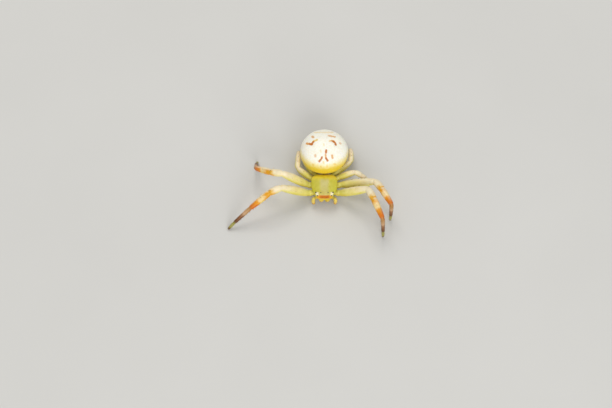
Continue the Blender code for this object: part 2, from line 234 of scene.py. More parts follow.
def open_group(name, inputs, outputs):
    """A new shader node group, the sockets that carry its inputs, and its output node."""
    tree = bpy.data.node_groups.new(name, "ShaderNodeTree")
    for direction, sockets in (("INPUT", inputs), ("OUTPUT", outputs)):
        for label, kind in sockets.items():
            tree.interface.new_socket(label, in_out=direction, socket_type="NodeSocket" + kind)
    return tree, tree.nodes.new("NodeGroupInput").outputs, tree.nodes.new("NodeGroupOutput")


# What all of the cuticle shares: fine grains, faint wrinkles, and a colour that varies a little
cuticle, given, closing = open_group(
    "cuticle",
    {"Base": "Color", "Mottle": "Float", "Grain Size": "Float", "Wrinkle Size": "Float"},
    {"Color": "Color", "Height": "Float"},
)
place = body_place(cuticle)
grains = add_node(cuticle, "TexVoronoi", {
    "Vector": place, "Scale": calc(cuticle, "DIVIDE", 1.0, given["Grain Size"])})["Distance"]
wrinkles = add_node(cuticle, "TexNoise", {
    "Vector": place, "Scale": calc(cuticle, "DIVIDE", 1.0, given["Wrinkle Size"]),
    "Detail": 4.0, "Distortion": 0.6})["Fac"]
clouds = add_node(cuticle, "TexNoise", {"Vector": place, "Scale": 1.7, "Detail": 3.0})["Fac"]
darker = add_node(cuticle, "HueSaturation", {
    "Hue": 0.495, "Saturation": 1.2, "Value": 0.80, "Color": given["Base"]})["Color"]
patches = times(cuticle, rise(cuticle, clouds, 0.40, 0.68), given["Mottle"])
flecks = times(cuticle, rise(cuticle, wrinkles, 0.50, 0.75), given["Mottle"], 0.6)
set_inputs(cuticle, closing, {
    "Color": lay_over(cuticle, given["Base"], (calc(cuticle, "MAXIMUM", patches, flecks), darker)),
    "Height": calc(cuticle, "ADD", wrinkles, times(cuticle, grains, 0.35))})


WAXY = {
    "Roughness": 0.42, "IOR": 1.5, "Specular IOR Level": 0.3, "Subsurface Weight": 0.12,
    "Subsurface Scale": 0.3 * MM, "Subsurface Radius": (1.0, 0.62, 0.30), "Coat Weight": 0.05,
    "Coat Roughness": 0.3,
}


def cuticle_material(name, paint, grain_size, wrinkle_size, mottle, relief, finish=WAXY):
    """Waxy translucent cuticle. Paint is a function that makes the colour in the node tree, and
    relief is the depth of the bump in millimetres."""
    material = bpy.data.materials.new(name)
    material.use_nodes = True
    tree = material.node_tree
    surface = add_node(tree, "Group", {
        "Base": paint(tree), "Mottle": mottle, "Grain Size": grain_size,
        "Wrinkle Size": wrinkle_size}, node_tree=cuticle)
    bump = add_node(tree, "Bump", {
        "Height": surface["Height"], "Strength": 1.0, "Distance": relief * MM})
    set_inputs(tree, tree.nodes["Principled BSDF"], {
        "Base Color": surface["Color"], "Normal": bump["Normal"], **finish})
    return material


def painted_across(axis, low, high, near, far):
    """A paint that goes from one colour to another with the distance along this axis."""
    def paint(tree):
        distance = calc(tree, "ABSOLUTE", axes(tree, body_place(tree))[axis])
        return lay_over(tree, near, (rise(tree, distance, low, high), far))
    return paint


def painted_along(name, stops):
    """A paint that runs through the stops' colours with a value kept on each point."""
    return lambda tree: colour_ramp(tree, attribute(tree, name), stops)


def sternum_ring(share):
    front, rear = STERNUM_SHAPE[0][0], STERNUM_SHAPE[-1][0]
    y = front + (rear - front) * (0.5 - 0.5 * math.cos(math.pi * share))
    half_width, lowest = smooth_row(STERNUM_SHAPE, y)
    middle, half_height = (STERNUM_TOP + lowest) / 2, (STERNUM_TOP - lowest) / 2
    return oval_ring(bm, (0.0, y, middle), half_width, half_height, 32, STERNUM_FULLNESS)


bm = bmesh.new()
draw_through(bm, 30, sternum_ring)
sternum = make_piece("sternum_plate", bm, cuticle_material(
    "sternum cuticle", painted_across("X", 0.25, 0.62, (226, 214, 140), (196, 182, 84)),
    0.03, 0.12, 0.5, 0.008))
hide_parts("sternum")


# Carapace: the one hard shield over the head and the leg bases, straight sided and nearly flat
# on top, with a steep rear. It carries the eyes along its front edge, the outer ones on a pair of
# pale horns, and its steep face hangs over the jaws. It is thin cuticle over green-yellow flesh.
CARAPACE_SHAPE = (  # y, half width, top, lower rim
    (-1.80, 0.78, 2.08, 1.20), (-1.78, 0.87, 2.14, 1.16), (-1.70, 0.95, 2.19, 1.15),
    (-1.58, 1.02, 2.22, 1.16), (-1.46, 1.11, 2.24, 1.28), (-1.34, 1.21, 2.26, 1.40),
    (-1.16, 1.32, 2.27, 1.44), (-0.86, 1.41, 2.28, 1.44), (-0.46, 1.46, 2.28, 1.44),
    (-0.02, 1.47, 2.26, 1.44), (0.36, 1.44, 2.19, 1.44), (0.64, 1.35, 2.08, 1.44),
    (0.84, 1.22, 1.95, 1.44), (0.97, 1.06, 1.83, 1.44), (1.08, 0.86, 1.70, 1.44),
    (1.14, 0.68, 1.62, 1.45),
)
CARAPACE_FRONT, CARAPACE_REAR = -1.80, 1.12
CARAPACE_INSET = 0.015
CARAPACE_FULLNESS = (2.7, 2.7)
HORN_PLACE, HORN_REACH, HORN_RISE = (0.83, -1.60), 0.08, 0.13
EYE_ROWS = {  # distance from the middle, y, z, radius and height of the pale mound about it
    "eye_front_middle": (0.26, -1.800, 1.78, 0.060, 0.020),
    "eye_front_side": (0.76, -1.760, 2.02, 0.085, 0.050),
    "eye_rear_middle": (0.40, -1.500, 2.220, 0.060, 0.018),
    "eye_rear_side": (0.94, -1.480, 2.200, 0.080, 0.045),
}


def carapace_ring(y, shrink):
    """The shield's outline across the body at this y, drawn out on top into the two horns."""
    at = min(max(y, CARAPACE_FRONT), CARAPACE_REAR)
    half_width, top, rim = smooth_row(CARAPACE_SHAPE, at)
    middle = (top + rim) / 2
    half_width = (half_width - CARAPACE_INSET) * shrink
    half_height = ((top - rim) / 2 - CARAPACE_INSET) * shrink
    ring = oval_ring(bm, (0.0, y, middle), half_width, half_height, 96, CARAPACE_FULLNESS)
    along = hump(at, HORN_PLACE[1], 0.17)
    for vert in ring:
        up = max(0.0, (vert.co.z - middle) / half_height)
        horn = along * hump(abs(vert.co.x), HORN_PLACE[0], 0.20) * up ** 0.5
        vert.co.x += math.copysign(horn * HORN_REACH, vert.co.x)
        vert.co.z += horn * HORN_RISE
    return ring


def carapace_relief(co):
    """How far the surface stands out at this point: mounds about the eyes, grooves behind."""
    relief = 0.0
    for side, y, z, radius, mound in EYE_ROWS.values():
        gap = (Vector((abs(co.x), co.y, co.z)) - Vector((side, y, z))).length / radius
        relief += mound * hump(gap, 1.35, 0.75)
    if co.z > 1.6:
        groove = abs(co.x) - (0.34 + 0.42 * max(0.0, -co.y))
        relief -= 0.030 * hump(groove, 0.0, 0.07) * hump(co.y, -0.55, 0.75)
        relief -= 0.035 * hump(abs(co.x), 0.0, 0.05) * hump(co.y, 0.30, 0.22)
        for spoke in range(3):
            slope = (abs(co.x) - 0.5) * (0.55 - 0.5 * spoke)
            away = co.y - (0.42 - 0.42 * spoke) - slope
            relief -= 0.014 * hump(away, 0.0, 0.06) * hump(abs(co.x), 0.90, 0.35)
    relief += 0.022 * hump(co.z, 1.53, 0.06) * (1.0 if co.y > -1.5 else 0.0)
    relief += 0.045 * hump(co.z, 1.25, 0.07) * (1.0 if co.y < -1.7 else 0.0)
    relief += 0.006 * noise.noise(co * 3.0)
    return relief


bm = bmesh.new()
front_cap = [(CARAPACE_FRONT - 0.030 * (1 - size ** 4) ** 0.5, size)
             for size in (0.25, 0.5, 0.7, 0.82, 0.91, 0.97)]
shield = [(CARAPACE_FRONT + (CARAPACE_REAR - CARAPACE_FRONT) * step / 100, 1.0) for step in range(101)]
rear_cap = [(CARAPACE_REAR + 0.02 * (1 - size ** 3) ** 0.5, size)
            for size in (0.96, 0.9, 0.8, 0.62, 0.4, 0.2)]
join_rings(bm, [carapace_ring(y, shrink) for y, shrink in front_cap + shield + rear_cap])
bmesh.ops.recalc_face_normals(bm, faces=bm.faces)
bm.normal_update()
raised = [vert.co + vert.normal * carapace_relief(vert.co) for vert in bm.verts]
for vert, co in zip(bm.verts, raised):
    vert.co = co
carapace_tree = BVHTree.FromBMesh(bm)


def paint_carapace(tree):
    place = axes(tree, body_place(tree))
    y, z = place["Y"], place["Z"]
    out = calc(tree, "ABSOLUTE", place["X"])
    ahead = axes(tree, surface_normal(tree))["Y"]
    waver = ragged(tree, 4.0, 3.0, 0.35)
    wide, long = calc(tree, "ADD", out, waver), calc(tree, "ADD", y, waver)
    band = times(tree, rise(tree, wide, 0.66, 0.26), rise(tree, long, 0.45, -0.10), 0.9)
    band_colour = lay_over(tree, (204, 194, 128), (rise(tree, y, -0.3, -1.1), (196, 184, 104)))
    brow = times(tree, rise(tree, y, -1.36, -1.52), rise(tree, z, 1.98, 2.10))
    horns = times(tree, brow, rise(tree, out, 0.56, 0.76))
    face = times(tree, rise(tree, ahead, -0.40, -0.70), rise(tree, z, 1.40, 1.50),
                 rise(tree, z, 2.14, 2.06), rise(tree, out, 0.95, 0.74))
    face_colour = lay_over(tree, (206, 112, 0), (rise(tree, out, 0.40, 0.66), (236, 168, 20)))
    lip = times(tree, rise(tree, y, -1.62, -1.72), rise(tree, z, 1.46, 1.38))
    return lay_over(
        tree, (198, 190, 64), (rise(tree, z, 2.0, 1.55), (206, 198, 84)),
        # The rear slope is painted bright gold: partly its own gold, partly painted light that cancels the
        # shade the abdomen casts there.
        (rise(tree, long, 0.00, 0.62), (236, 214, 66)), (band, band_colour),
        (times(tree, brow, 0.6), (208, 192, 112)), (horns, (240, 230, 188)),
        (face, face_colour), (lip, (226, 200, 56)))


carapace = make_piece("carapace_shield", bm, cuticle_material(
    "carapace cuticle", paint_carapace, 0.035, 0.10, 0.45, 0.010))
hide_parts("carapace")


# Eyes: eight small glossy lenses in two curved rows, each a clear dome over a dark cup, seated
# in the cuticle. The outer pair of each row is bigger and stands on the pale horns.
SIDES = (("left", 1.0), ("right", -1.0))
eye_material = cuticle_material("eye lens", painted_along("eye_height", (
    (0.0, (120, 84, 36)), (0.42, (74, 42, 16)), (0.56, (20, 12, 8)), (1.0, (8, 6, 6)))),
    0.02, 0.05, 0.1, 0.0005,
    {"Roughness": 0.10, "IOR": 1.52, "Coat Weight": 1.0, "Coat Roughness": 0.03})
for name, (side, y, z, radius, _) in EYE_ROWS.items():
    for side_name, sign in SIDES:
        node_name = f"{name}_{side_name}"
        low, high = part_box(node_name)
        centre = (low + high) / 2 / MM - BODY_PLACE
        bm = bmesh.new()
        height = bm.verts.layers.float.new("eye_height")
        bmesh.ops.create_uvsphere(bm, u_segments=24, v_segments=16, radius=radius * 0.98)
        outward = Vector((sign * side * 0.5, y + 1.0, (z - 1.6) * 1.5)).normalized()
        for vert in bm.verts:
            vert[height] = 0.5 + 0.5 * vert.co.normalized().dot(outward)
        bmesh.ops.translate(bm, verts=bm.verts, vec=centre)
        eye = make_piece(node_name + "_lens", bm, eye_material)
        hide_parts(node_name)


# Jaws: two short stout chelicerae that hang from the lower edge of the face, each a swollen
# base of yellow cuticle with a small dark fang of hard horn folded in below.
JAW_SIDE, JAW_Y, JAW_TOP, JAW_BOTTOM, JAW_LEAN = 0.33, -1.66, 1.12, 0.42, 0.06
JAW_HALF_WIDTH, JAW_HALF_DEPTH = 0.30, 0.22
JAW_PROFILE = (
    (0.0, 0.74), (0.05, 0.88), (0.16, 0.96), (0.35, 0.98), (0.60, 0.90), (0.80, 0.75),
    (0.92, 0.56), (1.0, 0.34),
)


FANG_ROOT, FANG_LENGTH, FANG_RADIUS, FANG_BEND = (0.36, -1.63, 0.50), 0.30, 0.050, 95.0


def add_spike(bm, root, ahead, towards, length, radius, turn, sides, steps):
    """A tapering spike that bends by turn degrees towards a side. A mesh with a tip layer keeps
    how far along the spike each point is."""
    ahead = ahead.normalized()
    axis = ahead.cross(towards)
    axis = axis.normalized() if axis.length > 1e-6 else ahead.orthogonal().normalized()
    tip = bm.verts.layers.float.get("tip")
    rings = []
    for step in range(steps + 1):
        share = step / steps
        here = Matrix((axis, ahead.cross(axis), ahead)).transposed().to_4x4()
        size = radius * (1.0 - 0.92 * share ** 1.4)
        scale = Matrix.Diagonal((size, size, 1.0, 1.0))
        ring = add_ring(bm, Matrix.Translation(root) @ here @ scale, sides)
        if tip:
            for vert in ring:
                vert[tip] = share
        rings.append(ring)
        root = root + ahead * length / steps
        ahead = (Matrix.Rotation(math.radians(turn / steps), 3, axis) @ ahead).normalized()
    join_rings(bm, rings)


def paint_jaw(tree):
    height = rise(tree, axes(tree, body_place(tree))["Z"], 0.40, JAW_TOP)
    return colour_ramp(tree, height, (
        (0.0, (196, 120, 40)), (0.25, (220, 168, 44)), (0.60, (230, 200, 66)), (1.0, (226, 196, 60))))


def jaw_ring(sign, share):
    size = smooth_row(JAW_PROFILE, share)[0]
    swell = 1.0 + 0.06 * hump(share, 0.22, 0.16)
    height = JAW_TOP - (JAW_TOP - JAW_BOTTOM) * share
    centre = Vector((sign * JAW_SIDE, JAW_Y + JAW_LEAN * share, height))
    ring = add_ring(bm, Matrix.Identity(4), 28)
    for vert in ring:
        x, y = vert.co.x, vert.co.y
        inner = 0.98 if x * sign < 0.0 else 1.0
        front = swell if y < 0.0 else 0.94
        vert.co = centre + Vector((x * JAW_HALF_WIDTH * inner, y * JAW_HALF_DEPTH * front, 0.0)) * size
    return ring


jaw_material = cuticle_material("jaw cuticle", paint_jaw, 0.03, 0.10, 0.5, 0.008)
for side_name, sign in SIDES:
    bm = bmesh.new()
    draw_through(bm, 28, lambda share: jaw_ring(sign, share))
    jaw = make_piece(f"jaw_{side_name}", bm, jaw_material)
    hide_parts(f"chelicera_{side_name}")

horn_material = cuticle_material("dark horn", painted_along("tip", (
    (0.0, (150, 92, 40)), (0.35, (92, 48, 22)), (1.0, (34, 18, 12)))), 0.02, 0.05, 0.2, 0.001,
    {"Roughness": 0.24, "IOR": 1.55, "Coat Weight": 0.4, "Coat Roughness": 0.12})


def mesh_with_tips():
    bm = bmesh.new()
    bm.verts.layers.float.new("tip")
    return bm


bm = mesh_with_tips()
for _, sign in SIDES:
    root = Vector((sign * FANG_ROOT[0], *FANG_ROOT[1:]))
    add_spike(bm, root, Vector((-sign * 0.35, -0.12, -1.0)), Vector((-sign, 0.25, 0.2)),
              FANG_LENGTH, FANG_RADIUS, FANG_BEND, 10, 9)
fangs = make_piece("fangs", bm, horn_material)


# Mouth: the pair of flat plates beside the mouth with the small lip between them, behind the
# jaws on the underside. They are moulded cuticle, paler along their inner edges.
PLATE_CENTRE, PLATE_HALF, PLATE_DEPTH = (0.235, -1.37, 0.92), (0.155, 0.175), 0.13
LIP_CENTRE, LIP_HALF, LIP_DEPTH = (0.0, -1.33, 0.88), (0.085, 0.13), 0.09


def plate_ring(sign, share):
    swell = math.sin(math.pi * (0.08 + 0.84 * share)) ** 0.5
    x, y, z = PLATE_CENTRE
    centre = (sign * (x - 0.02 * share), y + PLATE_DEPTH * share, z)
    return oval_ring(bm, centre, PLATE_HALF[0] * swell, PLATE_HALF[1] * swell, 24, (2.0, 2.4))


def lip_ring(share):
    swell = math.sin(math.pi * (0.1 + 0.8 * share)) ** 0.5
    x, y, z = LIP_CENTRE
    return oval_ring(bm, (x, y + LIP_DEPTH * share, z), LIP_HALF[0] * swell, LIP_HALF[1] * swell, 20)


bm = bmesh.new()
for _, sign in SIDES:
    draw_through(bm, 12, lambda share: plate_ring(sign, share))
draw_through(bm, 8, lip_ring)
mouth = make_piece("mouth_plates", bm, cuticle_material(
    "mouth cuticle", painted_across("X", 0.10, 0.34, (236, 214, 140), (206, 166, 66)),
    0.03, 0.09, 0.5, 0.006))
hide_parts("maxillae")


# Legs: eight hollow tubes of thin translucent cuticle, each one skin from the hip to the toe, drawn
# in at every joint where soft membrane lets it bend. The two front pairs are long and held
# out sideways to grab prey, and are banded with orange and brown; the hind pairs are short.
HIPS = ((0.76, -0.80, 1.07), (0.78, -0.14, 1.06), (0.76, 0.53, 1.06), (0.58, 1.13, 1.00))
TROCHANTERS = ((1.74, -1.01, 1.15), (1.84, 0.04, 1.19), (1.66, 1.00, 1.15), (1.20, 1.60, 0.92))
UPPER_LENGTHS = (4.04, 3.78, 2.05, 1.62)  # knee to ankle, for each pair
LOWER_LENGTHS = (3.72, 3.50, 1.65, 1.42)  # ankle to toe
STANCE = {  # knee, the toe's place on the floor, and how far the arch leans over in degrees
    "leg_1_left": ((4.76, -1.75, 3.54), (6.44, -5.86, 0.0), 0.0),
    "leg_1_right": ((-4.77, -1.46, 3.28), (-10.74, -5.02, 0.0), 13.0),
    "leg_2_left": ((5.62, -0.38, 2.76), (7.26, -3.80, 0.0), -2.0),
    "leg_2_right": ((-4.59, -0.26, 4.32), (-7.48, 3.60, 0.0), -61.0),
    "leg_3_left": ((3.42, 1.10, 2.26), (4.62, 0.20, 0.0), -8.0),
    "leg_3_right": ((-3.00, 1.95, 1.56), (-2.90, 4.90, 0.0), 4.0),
    "leg_4_left": ((2.98, 2.85, 1.42), (2.92, 5.15, 0.0), 6.0),
    "leg_4_right": ((-2.20, 3.30, 0.78), (-1.88, 6.02, 0.0), -30.0),
}
LEG_CORNER, TOE_HEIGHT, PAST_FLOOR = 0.46, 0.13, 0.36
PATELLA_SHARE, PATELLA_ARCH = 0.32, 0.105
METATARSUS_SHARE, TARSUS_ARCH = 0.67, 0.025
# Half thickness of a front leg: the whole number counts coxa, femur, patella, tibia,
# metatarsus and tarsus from 0, and the rest is the share along that piece
LEG_THICKNESS = (
    (0.0, 0.25), (0.15, 0.275), (0.5, 0.300), (0.72, 0.330), (0.79, 0.328), (0.85, 0.342),
    (0.95, 0.335), (1.0, 0.318), (1.03, 0.342), (1.12, 0.395), (1.28, 0.455), (1.50, 0.475),
    (1.72, 0.450), (1.90, 0.385), (1.965, 0.368), (2.0, 0.312), (2.06, 0.350), (2.3, 0.395),
    (2.6, 0.400), (2.86, 0.375), (2.95, 0.358),
    (3.0, 0.308), (3.04, 0.338), (3.12, 0.352), (3.35, 0.358), (3.7, 0.312), (3.93, 0.270), (3.98, 0.262),
    (4.0, 0.205), (4.03, 0.222), (4.12, 0.234), (4.5, 0.216), (4.85, 0.196), (4.97, 0.192),
    (5.0, 0.146), (5.04, 0.160), (5.3, 0.166), (5.7, 0.156), (5.9, 0.130), (6.0, 0.085),
)
HIND_SHARE = ((0.0, 0.90), (0.9, 0.88), (1.5, 0.76), (2.5, 0.75), (3.4, 0.79), (4.4, 0.86), (6.0, 0.90))
RING_SHARES = (0.0, 0.03, 0.06, 0.10, 0.16, 0.24, 0.34, 0.44, 0.54, 0.64, 0.74, 0.83, 0.90, 0.94, 0.97)


class Limb:
    """A smooth line through the joints of a leg or feeler, and the thickness along it."""

    def __init__(self, joints, corner, thickness, lowest=None):
        self.points, self.marks = [joints[0]], [0]
        for before, here, after in zip(joints, joints[1:], joints[2:]):
            back, ahead = before - here, after - here
            start = here + back.normalized() * min(corner, 0.45 * back.length)
            end = here + ahead.normalized() * min(corner, 0.45 * ahead.length)
            for step in range(13):
                t = step / 12
                self.points.append(start.lerp(here, t).lerp(here.lerp(end, t), t))
            self.marks.append(len(self.points) - 7)
        self.points.append(joints[-1])
        self.marks.append(len(self.points) - 1)
        self.lengths = [0.0]
        for point, next_point in zip(self.points, self.points[1:]):
            self.lengths.append(self.lengths[-1] + (next_point - point).length)
        self.joints_at = [self.lengths[mark] for mark in self.marks]
        if lowest is not None:
            while self.point(self.joints_at[-1]).z < lowest:
                self.joints_at[-1] -= 0.005
        self.thickness = thickness

    def point(self, length):
        length = min(max(length, 0.0), self.lengths[-1])
        index = 0
        while index < len(self.lengths) - 2 and self.lengths[index + 1] < length:
            index += 1
        share = (length - self.lengths[index]) / (self.lengths[index + 1] - self.lengths[index])
        return self.points[index].lerp(self.points[index + 1], share)

    def frames(self, places):
        """A frame at each place along the limb that looks ahead, its own y towards the back."""
        made, side = [], None
        for at in places:
            piece = min(int(at), len(self.joints_at) - 2)
            start, end = self.joints_at[piece], self.joints_at[piece + 1]
            length = start + (end - start) * (at - piece)
            ahead = (self.point(length + 0.05) - self.point(length - 0.05)).normalized()
            if side is None:
                side = ahead.cross(UP)
            side = (side - ahead * side.dot(ahead)).normalized()
            turn = Matrix((side, side.cross(ahead), ahead)).transposed().to_4x4()
            made.append(Matrix.Translation(self.point(length)) @ turn)
        return made

    def add_skin(self, bm, places, sides):
        """A closed skin over the whole limb that keeps its place and its side on each point."""
        along = bm.verts.layers.float.new("limb_place")
        back = bm.verts.layers.float.new("limb_back")
        rings = []
        for at, here in zip(places, self.frames(places)):
            size = self.thickness(at)
            ring = add_ring(bm, here @ Matrix.Diagonal((size, size, 1.0, 1.0)), sides)
            joint = hump(at, round(at), 0.035) if 0.5 < at < len(self.joints_at) - 1.5 else 0.0
            for vert in ring:
                off = here.inverted() @ vert.co
                up = off.y / size
                fold = 1.0 - 0.16 * joint * max(0.0, -up)
                vert.co = here @ Vector((off.x * fold, off.y * fold, 0.0))
                vert[along], vert[back] = at, up
            rings.append(ring)
        join_rings(bm, rings)


def leg_limb(name):
    """The line of a leg from hip to toe, its last four joints on one arch over the floor."""
    pair = int(name[4]) - 1
    sign = 1.0 if name.endswith("left") else -1.0
    hip, trochanter = (Vector((sign * x, y, z)) for x, y, z in (HIPS[pair], TROCHANTERS[pair]))
    knee, foot = Vector(STANCE[name][0]), Vector(STANCE[name][1])
    upper, lower = UPPER_LENGTHS[pair], LOWER_LENGTHS[pair]
    chord = foot - knee
    straight = chord.normalized()
    upright = (UP - straight * straight.z).normalized()
    leaning = Matrix.Rotation(math.radians(STANCE[name][2]), 3, straight) @ upright
    along = (upper ** 2 - lower ** 2 + chord.length ** 2) / (2.0 * chord.length)
    ankle = knee + straight * along + leaning * math.sqrt(upper ** 2 - along ** 2)
    patella_end = knee.lerp(ankle, PATELLA_SHARE) + leaning * PATELLA_ARCH * upper
    tarsus = ankle.lerp(foot, METATARSUS_SHARE) + leaning * TARSUS_ARCH * lower
    past_floor = foot + (foot - tarsus).normalized() * PAST_FLOOR

    def thickness(at):
        size = smooth_row(LEG_THICKNESS, at)[0]
        return size * (1.0 if pair < 2 else smooth_row(HIND_SHARE, at)[0])

    joints = [hip, trochanter, knee, patella_end, ankle, tarsus, past_floor]
    return Limb(joints, LEG_CORNER, thickness, TOE_HEIGHT)


def limb_places(pieces):
    return [piece + share for piece in range(pieces) for share in RING_SHARES] + [float(pieces)]


# The bands of a front leg, mixed over plain straw by how far the leg is banded
STRAW, STRAW_LOW, OLIVE = (222, 212, 112), (214, 196, 78), (156, 150, 78)
PINK_WHITE, BONE, CREAM = (242, 228, 192), (236, 220, 150), (238, 210, 150)
ORANGE, RUST, TAN = (226, 154, 0), (206, 100, 0), (172, 128, 70)
UMBER, TOE_BROWN = (100, 60, 24), (170, 124, 66)
BANDED_SIDE = (
    (0.0, STRAW_LOW), (1.0, STRAW_LOW), (1.8, STRAW), (2.1, BONE), (2.5, BONE), (2.72, (230, 176, 70)),
    (3.02, ORANGE), (3.28, ORANGE), (3.38, (232, 206, 116)), (3.52, (232, 200, 104)), (3.60, ORANGE),
    (3.70, RUST), (3.92, RUST), (4.04, (176, 96, 30)), (4.16, TAN), (4.34, TAN), (4.50, UMBER),
    (4.94, UMBER), (5.04, OLIVE), (5.60, OLIVE), (5.85, UMBER), (6.0, UMBER),
)
# Along the back of a front leg: paler than its sides, partly the leg's own colour and partly painted light
# from above.
BANDED_BACK = (
    (0.0, STRAW), (1.1, STRAW), (1.6, BONE), (1.92, PINK_WHITE), (2.6, PINK_WHITE),
    (2.86, (226, 176, 60)), (3.14, (222, 154, 0)), (3.32, CREAM), (3.50, CREAM), (3.60, (226, 150, 20)),
    (3.90, (208, 112, 22)), (4.04, TAN), (4.36, (196, 158, 120)), (4.56, (140, 92, 54)),
    (4.94, UMBER), (5.08, OLIVE), (5.7, OLIVE), (5.86, UMBER), (6.0, UMBER),
)
PLAIN_SIDE = (
    (0.0, STRAW_LOW), (1.6, STRAW_LOW), (3.0, STRAW), (4.6, (214, 196, 110)),
    (5.3, (206, 180, 100)), (5.9, TOE_BROWN), (6.0, UMBER),
)
# Along the back of a hind leg: paler than its sides, partly the leg's own colour and partly painted light
# from above.
PLAIN_BACK = (
    (0.0, STRAW), (1.4, STRAW), (1.9, PINK_WHITE), (4.2, PINK_WHITE), (4.8, BONE), (5.4, STRAW),
    (5.9, TOE_BROWN), (6.0, UMBER),
)
bands, given, closing = open_group(
    "leg_bands", {"Place": "Float", "Back": "Float", "Banding": "Float"}, {"Color": "Color"})
waver = ragged(bands, 5.0, 4.0, 0.22)
along = calc(bands, "ADD", given["Place"], waver)
on_back = rise(bands, calc(bands, "ADD", given["Back"], times(bands, waver, 1.5)), 0.05, 0.90)
banded, plain = (
    lay_over(bands, colour_ramp(bands, along, side), (on_back, colour_ramp(bands, along, back)))
    for side, back in ((BANDED_SIDE, BANDED_BACK), (PLAIN_SIDE, PLAIN_BACK)))
set_inputs(bands, closing, {"Color": lay_over(bands, plain, (given["Banding"], banded))})


def limb_colour(tree, banding):
    return add_node(tree, "Group", {
        "Place": attribute(tree, "limb_place"), "Back": attribute(tree, "limb_back"),
        "Banding": banding}, node_tree=bands)["Color"]


def paint_leg(banding):
    """The paint of a leg, finely dotted with brown and pinkish white along its upper rear edge, partly its
    own pale edge and partly a painted highlight where the skin faces the lamp above and behind.
    """
    def paint(tree):
        along = attribute(tree, "limb_place")
        upper_rear = vector_calc(tree, "DOT_PRODUCT", surface_normal(tree), (0.0, 0.86, 0.5))
        # Pinkish white where the skin faces up and back: partly the leg's own pale edge, partly a painted
        # highlight.
        edge = times(tree, rise(tree, upper_rear, 0.30, 0.85), rise(tree, along, 4.4, 3.4),
                     rise(tree, along, 0.9, 1.5), 0.85)
        spots = add_node(tree, "TexVoronoi", {"Vector": body_place(tree), "Scale": 5.5})["Distance"]
        dots = times(tree, rise(tree, spots, 0.16, 0.09), 0.35)
        return lay_over(tree, limb_colour(tree, banding), (edge, PINK_WHITE), (dots, (196, 140, 70)))
    return paint


def is_front(name):
    return name[4] in "12"


FULL_BANDING, HIND_BANDING = 1.0, 0.12
LEG_FINISH = dict(WAXY, Roughness=0.38)
banded_cuticle, plain_cuticle = (
    cuticle_material(name, paint_leg(banding), 0.028, 0.09, 0.40, 0.008, LEG_FINISH)
    for name, banding in (("banded leg cuticle", FULL_BANDING), ("plain leg cuticle", HIND_BANDING)))
legs = {}
for name in STANCE:
    limb = leg_limb(name)
    bm = bmesh.new()
    limb.add_skin(bm, limb_places(6), 22)
    skin = make_piece(name + "_skin", bm, banded_cuticle if is_front(name) else plain_cuticle)
    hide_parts(*(f"{name}_{piece}" for piece in ("coxa", "femur", "patella", "tibia", "foot")))
    legs[name] = limb


# Leg bristles: fine pale hairs that lie towards the toe, thickest on the feet, and the brush of
# tiny hairs under each toe that grips the ground. Each is a solid tapering hair of cuticle and
# takes the colour of the skin at its root.
random.seed(21)
FRONT_LEG_HAIRS, HIND_LEG_HAIRS = 360, 230
LEG_HAIR_LEAN, LEG_HAIR_LENGTH = (18.0, 42.0), (0.10, 0.20)
BRUSH_HAIRS, BRUSH_PLACE, BRUSH_RADIUS = 34, 5.93, 0.07
LOWEST_HAIR = 0.004


def paint_hair(tree):
    colour = limb_colour(tree, attribute(tree, "banding"))
    return lay_over(tree, colour, (0.30, (244, 232, 200)))


def hair_cuticle(name, paint):
    return cuticle_material(name, paint, 0.02, 0.05, 0.15, 0.0005, {"Roughness": 0.45, "IOR": 1.5})


class Coat:
    """Hairs joined into one mesh, all copies of one bent tapering hair. Each keeps its root's
    values, and a small patch of its own at its root's place on a map of the skin."""

    PATCH, RADIUS, BEND = 0.0015, 0.045, 24.0

    def __init__(self, names):
        single = bmesh.new()
        flat = single.loops.layers.uv.new("OFBake")
        add_spike(single, Vector(), UP, Vector((0.0, 1.0, 0.0)), 1.0, self.RADIUS, self.BEND, 3, 2)
        for vert in single.verts:
            level = vert.co.xy
            if level.length > 1e-4:
                level = level.normalized() * self.PATCH * (1.0 - 0.7 * vert.co.z)
            for loop in vert.link_loops:
                loop[flat].uv = level
        self.hair = bpy.data.meshes.new("hair")
        single.to_mesh(self.hair)
        single.free()
        self.bm = bmesh.new()
        self.layers = [self.bm.verts.layers.float.new(name) for name in names]
        self.map = self.bm.loops.layers.uv.new("OFBake")

    def add(self, root, ahead, towards, length, values, spot):
        """One hair that points ahead and bends towards the side given."""
        ahead = ahead.normalized()
        side = towards.cross(ahead).normalized()
        turn = Matrix((side, ahead.cross(side), ahead)).transposed().to_4x4()
        place = Matrix.Translation(root) @ turn @ Matrix.Scale(length, 4)
        self.bm.from_mesh(self.hair)
        self.bm.verts.ensure_lookup_table()
        for vert in self.bm.verts[-len(self.hair.vertices):]:
            vert.co = place @ vert.co
            for layer, value in zip(self.layers, values):
                vert[layer] = value
            for loop in vert.link_loops:
                loop[self.map].uv += Vector(spot)


def lift_to_floor(bm):
    """Keeps the points of a mesh just over the floor that the toes stand on."""
    for vert in bm.verts:
        vert.co.z = max(vert.co.z, LOWEST_HAIR)


def spoke(angle):
    """The direction at this angle round a limb, its back being at a quarter turn."""
    return Vector((math.cos(angle), math.sin(angle), 0.0))


def limb_hair(limb, at, here, lean, lengths, sunk):
    """A hair drawn at random: its root, direction, bend and length, and its angle round the limb."""
    angle = random.uniform(0.0, math.tau)
    raised = math.radians(random.uniform(*lean))
    turn = here.to_3x3()
    ahead = turn @ (spoke(angle) * math.sin(raised) + UP * math.cos(raised))
    root = here @ (spoke(angle) * limb.thickness(at) * sunk)
    return root, ahead, turn @ UP, random.uniform(*lengths), angle


